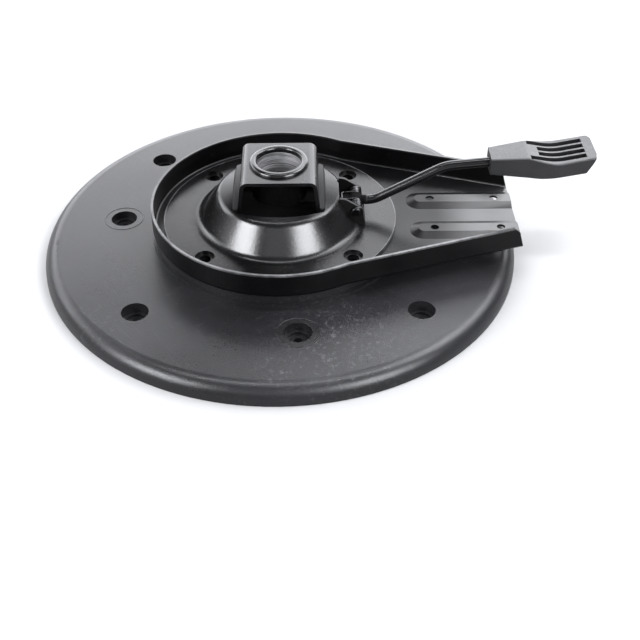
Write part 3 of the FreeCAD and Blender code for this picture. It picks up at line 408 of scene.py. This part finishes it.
def tray_finish():
    """The tray: dull under the dome's crown, glossiest on the tail, pale along its top edge.

    The pale edge is partly wear and mostly a painted highlight, which fades towards the back.
    """
    finish = painted_steel("tray_paint", dark=(0.0018, 0.0018, 0.0021),
                           light=(0.0030, 0.0030, 0.0033), rough=(0.27, 0.36),
                           peel_depth=0.00004, rub=0.25)
    floor = finish.spread(finish.from_axis(), TRAY_ROUND_RADIUS, TRAY_TAIL_RADIUS,
                          TRAY_ROUND_GLOSS, TRAY_TAIL_GLOSS)
    finish.gloss_by_slope(side=0.10, flat=floor, slope=TRAY_SLOPE)
    edge = finish.close_to(finish.across("Z"), TRAY_TOP, TRAY_EDGE_BAND)
    gloss = finish.level(edge, finish.held("Specular IOR Level"), TRAY_EDGE_GLOSS)
    finish.set("Specular IOR Level", gloss)
    finish.dull_within(CROWN_RADIUS)
    # Painted highlight along the top edge, strongest at the front; its patches also look like
    # wear
    highlight_share = finish.spread(finish.across("Y"), TRAY_FRONT_Y, TRAY_BACK_Y, 1.0, TRAY_BACK_HIGHLIGHT_SHARE)
    finish.wear_and_painted_highlight(finish.times(edge, highlight_share), amount=0.20)
    return finish


def dome_finish():
    """The dome: glossy on its slope, duller on the flange and the crown, with a painted
    highlight at the rim.
    """
    finish = painted_steel("dome_paint", dark=(0.0015, 0.0015, 0.0017),
                           light=(0.0028, 0.0028, 0.0030), rough=(0.21, 0.29),
                           peel_depth=0.00004)
    flat = finish.spread(finish.from_axis(), CROWN_RADIUS, DOME_FOOT_RADIUS,
                         CROWN_GLOSS, FLANGE_GLOSS)
    finish.gloss_by_slope(side=0.75, flat=flat, slope=STEEL_SLOPE)
    # Painted highlight: a thin pale line round the flange's edge
    rim = finish.close_to(finish.from_axis(), FLANGE_RADIUS, FLANGE_HIGHLIGHT_BAND)
    finish.wear_and_painted_highlight(rim, amount=0.22)
    return finish


def bracket_finish():
    finish = painted_steel("bracket_paint", dark=(0.0025, 0.0025, 0.0028),
                           light=(0.0045, 0.0045, 0.0048), rough=(0.24, 0.34),
                           peel_depth=0.00003)
    finish.gloss_by_slope(side=0.6, flat=0.46, slope=STEEL_SLOPE)
    return finish


def socket_finish():
    """Black paint outside and on the lip; bare steel with turned rings in the bore."""
    finish = painted_steel("socket_paint", dark=(0.002, 0.002, 0.0022),
                           light=(0.004, 0.004, 0.0042), rough=(0.20, 0.30),
                           peel_depth=0.00001, coat=0.2)
    inside = finish.times(finish.fall(finish.from_axis(), *BORE_EDGE),
                          finish.fall(finish.across("Z"), *LIP_EDGE))
    rings = finish.noise(scale=1.0, detail=2.0, roughness=0.8,
                         place=finish.mapped("POINT", scale=(14.0, 14.0, 1000.0)))
    stain = finish.noise(scale=1.0, detail=4.0, roughness=0.6,
                         place=finish.mapped("POINT", scale=(70.0, 70.0, 260.0)))
    shade = finish.plus(finish.times(rings, RINGS_SHARE), finish.times(stain, 1 - RINGS_SHARE))
    steel = finish.blend(finish.rise(shade, 0.36, 0.64), BORE_DARK, BORE_LIGHT)
    turned = finish.spread(rings, *NOISE_RANGE, 0.5, 0.72)
    finish.set("Base Color", finish.blend(inside, finish.held("Base Color"), steel))
    finish.set("Metallic", inside)
    finish.set("Roughness", finish.level(inside, finish.held("Roughness"), turned))
    finish.set("Normal", finish.bump(finish.times(rings, inside), depth=0.00008,
                                     over=finish.held("Normal")))
    return finish


def weld_finish():
    return painted_steel("weld_paint", dark=(0.003, 0.003, 0.0033),
                         light=(0.005, 0.005, 0.0053), rough=(0.42, 0.58),
                         peel_depth=0.00010, gloss=0.15)


def yoke_finish():
    return painted_steel("yoke_paint", dark=(0.002, 0.002, 0.0022),
                         light=(0.004, 0.004, 0.0042), rough=(0.40, 0.55),
                         peel_depth=0.00002, gloss=0.25)


def pin_finish():
    return bare_steel("pin_steel", dark=(0.02, 0.02, 0.021), light=(0.05, 0.05, 0.052),
                      rough=(0.25, 0.40))


def rod_finish():
    """The rod: dull under the dome and in its window."""
    finish = painted_steel("rod_paint", dark=(0.0025, 0.0025, 0.0028),
                           light=(0.0045, 0.0045, 0.0048), rough=(0.22, 0.32),
                           peel_depth=0.00001)
    finish.dull_within(ROD_DULL_RADIUS)
    return finish


def handle_finish():
    return moulded_plastic("handle_plastic", dark=(0.009, 0.009, 0.010),
                           light=(0.014, 0.014, 0.015), rough=(0.42, 0.52),
                           grain=800.0, grain_depth=0.00018, gloss=0.95, side_gloss=0.35)


def spring_finish():
    return bare_steel("spring_steel", dark=(0.03, 0.03, 0.031), light=(0.09, 0.09, 0.092),
                      rough=(0.16, 0.28))


def floor_finish():
    finish = Finish("floor_pale")
    clouds = finish.noise(scale=3.0, detail=4.0, roughness=0.5)
    finish.set("Base Color", finish.blend(clouds, (0.35, 0.35, 0.35), (0.39, 0.39, 0.39)))
    finish.set("Roughness", finish.spread(clouds, *NOISE_RANGE, 0.7, 0.85))
    return finish


MAKERS = {
    "disc": disc_finish,
    "insert": insert_finish,
    "tray": tray_finish,
    "dome": dome_finish,
    "bracket": bracket_finish,
    "socket": socket_finish,
    "weld": weld_finish,
    "yoke": yoke_finish,
    "pin": pin_finish,
    "rod": rod_finish,
    "handle": handle_finish,
    "spring": spring_finish,
}
FINISHES = {slot: maker().material for slot, maker in MAKERS.items()}
SLOTS = {part["node"]: part["material_slot"] for part in frame["record"]["subparts"]}

for name, node in nodes.items():
    node.data.materials.clear()
    node.data.materials.append(FINISHES[SLOTS[name]])


# Pieces that the solids leave to the picture

RIM_WIDTH = 0.6 * MM
RIM_HEIGHT = 0.24 * MM
RIM_STEPS = 96
RIDGE_TOP_SHARE = 0.4
BEAD_RADIUS = 0.75 * MM
BEAD_SIDES = 10
BEAD_END_GAP = 2.6 * MM
BEAD_LIFT = 0.1 * MM
BEAD_TIP_SHARE = 0.25
BEAD_SWELL = 4
RIPPLE_PITCH = 1.5 * MM
RIPPLE_LEAN = 0.3 * MM
RIPPLE_SHARE = 0.14
STEPS_PER_RIPPLE = 6


def put_in_scene(name, data):
    thing = bpy.data.objects.new(name, data)
    bpy.context.scene.collection.objects.link(thing)
    return thing


def add_piece(name, mesh, slot):
    for face in mesh.polygons:
        face.use_smooth = True
    mesh.materials.append(FINISHES[slot])
    piece = put_in_scene(name, mesh)
    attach(piece, PLATE)


def turns(count):
    """Even steps round a full turn, as angles."""
    return [2 * math.pi * step / count for step in range(count)]


def skin(name, rows, joined):
    """A mesh over rings of points. The last ring meets the first where they are joined."""
    build = bmesh.new()
    rings = [[build.verts.new(point) for point in row] for row in rows]
    for ring, following in zip(rings, rings[1:] + (rings[:1] if joined else [])):
        for i in range(len(ring)):
            j = (i + 1) % len(ring)
            build.faces.new((ring[i], following[i], following[j], ring[j]))
    if not joined:
        build.faces.new(rings[0])
        build.faces.new(rings[-1])
    bmesh.ops.recalc_face_normals(build, faces=build.faces)
    mesh = bpy.data.meshes.new(name)
    build.to_mesh(mesh)
    build.free()
    return mesh


def low_ridge(radius, width, height, base):
    """The profile of a low rounded ridge that stands a little into its base."""
    half = width / 2
    top_half = half * RIDGE_TOP_SHARE
    foot, shoulder, top = base - height, base + height / 2, base + height
    return [(radius - half, foot), (radius - half, shoulder), (radius - top_half, top),
            (radius + top_half, top), (radius + half, shoulder), (radius + half, foot)]


def add_insert_rims():
    """A fine raised line round each ringed cup."""
    for number, insert in enumerate(INSERTS, start=1):
        low, high = low_corner(insert), high_corner(insert)
        middle = (low + high) / 2
        profile = low_ridge((high.x - low.x) / 2, RIM_WIDTH, RIM_HEIGHT, DISC_TOP)
        rows = [[(middle.x + radius * math.cos(turn), middle.y + radius * math.sin(turn), height)
                 for radius, height in profile] for turn in turns(RIM_STEPS)]
        rim = "insert_rim_%d" % number
        add_piece(rim, skin(rim, rows, joined=True), "insert")


def bead_rows(dome, outer, reach):
    """Rings of points along the dome's surface at x = outer, from y = -reach to reach."""
    steps = int(2 * reach / RIPPLE_PITCH * STEPS_PER_RIPPLE)
    rows = []
    for step in range(steps + 1):
        along = step / steps
        y = -reach + 2 * reach * along
        surface = dome.ray_cast(Vector((outer, y, SOCKET_MOUTH)), Vector((0, 0, -1)))[0]
        ripple = 0.5 + 0.5 * math.cos(2 * math.pi * y / RIPPLE_PITCH)
        taper = min(1.0, BEAD_SWELL * min(along, 1 - along) + BEAD_TIP_SHARE)
        radius = BEAD_RADIUS * taper * (1 - RIPPLE_SHARE + RIPPLE_SHARE * ripple)
        middle = Vector((outer, y + RIPPLE_LEAN * ripple, surface.z + BEAD_LIFT))
        rows.append([middle + Vector((math.cos(turn), 0, math.sin(turn))) * radius
                     for turn in turns(BEAD_SIDES)])
    return rows


def add_weld_beads():
    """Rippled beads where each weld strip meets the crown of the dome."""
    node = nodes["dome_plate"]
    dome = BVHTree.FromPolygons([node.matrix_world @ v.co for v in node.data.vertices],
                                [tuple(face.vertices) for face in node.data.polygons])
    outer_sides = {"right": high_corner("weld_strip_right").x,
                   "left": low_corner("weld_strip_left").x}
    for side, outer in outer_sides.items():
        reach = high_corner("weld_strip_" + side).y - BEAD_END_GAP
        bead = "weld_bead_" + side
        add_piece(bead, skin(bead, bead_rows(dome, outer, reach), joined=False), "weld")


def add_spring_wire():
    """The return spring as one mesh of its own, in place of its solid node."""
    node = nodes["return_spring"]
    mesh = node.data.copy()
    mesh.name = "spring_wire"
    mesh.transform(node.matrix_world)
    mesh.materials.clear()
    mesh.materials.append(FINISHES["spring"])
    piece = put_in_scene("spring_wire", mesh)
    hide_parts("return_spring")
    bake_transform(piece)


# Stage: floor, light and camera

FLOOR_HALF = 6.0
FLOOR_GAP = 0.2 * MM
STAGE_AIM = Vector((0.02, 0.0, 0.03))
LIGHT_TINT = (0.955, 0.965, 1.0)
WORLD_TINT = (0.95, 0.97, 1.0)
WORLD_STRENGTH = 0.06


def add_floor():
    half, height = FLOOR_HALF, -FLOOR_GAP
    mesh = bpy.data.meshes.new("floor")
    mesh.from_pydata([(-half, -half, height), (half, -half, height),
                      (half, half, height), (-half, half, height)], [], [(0, 1, 2, 3)])
    mesh.materials.append(floor_finish().material)
    floor = put_in_scene("floor", mesh)


def add_panel(name, azimuth, elevation, distance, width, height, watts):
    """A soft panel light, aimed at the part. Azimuth 0 is behind the part, 90 its right side."""
    turn, rise = math.radians(azimuth), math.radians(elevation)
    way = Vector((math.sin(turn) * math.cos(rise), math.cos(turn) * math.cos(rise),
                  math.sin(rise)))
    data = bpy.data.lights.new(name, "AREA")
    data.shape = "RECTANGLE"
    data.size = width
    data.size_y = height
    data.energy = watts
    data.color = LIGHT_TINT
    lamp = put_in_scene(name, data)
    facing = way.to_track_quat("Z", "Y").to_matrix().to_4x4()
    lamp.matrix_world = Matrix.Translation(STAGE_AIM + way * distance) @ facing
    lamp.visible_camera = False


def add_light():
    """Panels, with angles in degrees and sizes in metres, and a faint light all round."""
    add_panel("back_panel", 2, 20, distance=1.6, width=2.5, height=1.03, watts=41)
    add_panel("back_upper", 18, 42, distance=1.6, width=0.60, height=0.28, watts=4)
    add_panel("top_strip", 0, 87, distance=1.4, width=1.3, height=0.07, watts=11)
    add_panel("front_left", 235, 26, distance=1.2, width=0.60, height=0.55, watts=18)
    add_panel("front_right", 140, 28, distance=1.2, width=0.60, height=0.60, watts=18)
    add_panel("front_fill", 188, 26, distance=1.25, width=0.60, height=0.60, watts=1)
    add_panel("left_fill", 268, 26, distance=1.3, width=0.60, height=0.60, watts=2)
    add_panel("right_panel", 66, 50, distance=1.4, width=0.9, height=0.7, watts=20)
    add_panel("left_panel", 300, 26, distance=1.4, width=0.9, height=0.6, watts=9)
    world = bpy.data.worlds.new("studio")
    world.use_nodes = True
    background = world.node_tree.nodes["Background"]
    background.inputs["Color"].default_value = (*WORLD_TINT, 1.0)
    background.inputs["Strength"].default_value = WORLD_STRENGTH
    bpy.context.scene.world = world
    bpy.context.scene.view_settings.view_transform = "Standard"


# Camera, solved from the photograph in millimetres, radians and pixels
PHOTO_WIDTH = 640.0
CAMERA_PLACE_MM = (15.754, -562.299, 412.437)
CAMERA_YAW = -0.0025
CAMERA_PITCH = 0.596
CAMERA_ROLL = -0.009
FOCAL_PIXELS = 1068.35
PRINCIPAL_POINT = (302.3, 201.7)
FILM_WIDTH_MM = 36.0
NEAREST = 0.01
FARTHEST = 20.0


def add_camera():
    data = bpy.data.cameras.new("camera")
    data.sensor_width = FILM_WIDTH_MM
    data.lens = FOCAL_PIXELS / PHOTO_WIDTH * FILM_WIDTH_MM
    data.shift_x = (PHOTO_WIDTH / 2 - PRINCIPAL_POINT[0]) / PHOTO_WIDTH
    data.shift_y = (PRINCIPAL_POINT[1] - PHOTO_WIDTH / 2) / PHOTO_WIDTH
    data.clip_start = NEAREST
    data.clip_end = FARTHEST
    camera = put_in_scene("camera", data)
    forward = Vector((math.sin(CAMERA_YAW) * math.cos(CAMERA_PITCH),
                      math.cos(CAMERA_YAW) * math.cos(CAMERA_PITCH), -math.sin(CAMERA_PITCH)))
    level = Vector((math.cos(CAMERA_YAW), -math.sin(CAMERA_YAW), 0.0))
    upward = level.cross(forward)
    right = level * math.cos(CAMERA_ROLL) + upward * math.sin(CAMERA_ROLL)
    up = upward * math.cos(CAMERA_ROLL) - level * math.sin(CAMERA_ROLL)
    turn = Matrix((right, up, -forward)).transposed().to_4x4()
    camera.matrix_world = Matrix.Translation(Vector(CAMERA_PLACE_MM) * MM) @ turn
    bpy.context.scene.camera = camera


add_insert_rims()
add_weld_beads()
add_spring_wire()
add_floor()
add_light()
add_camera()
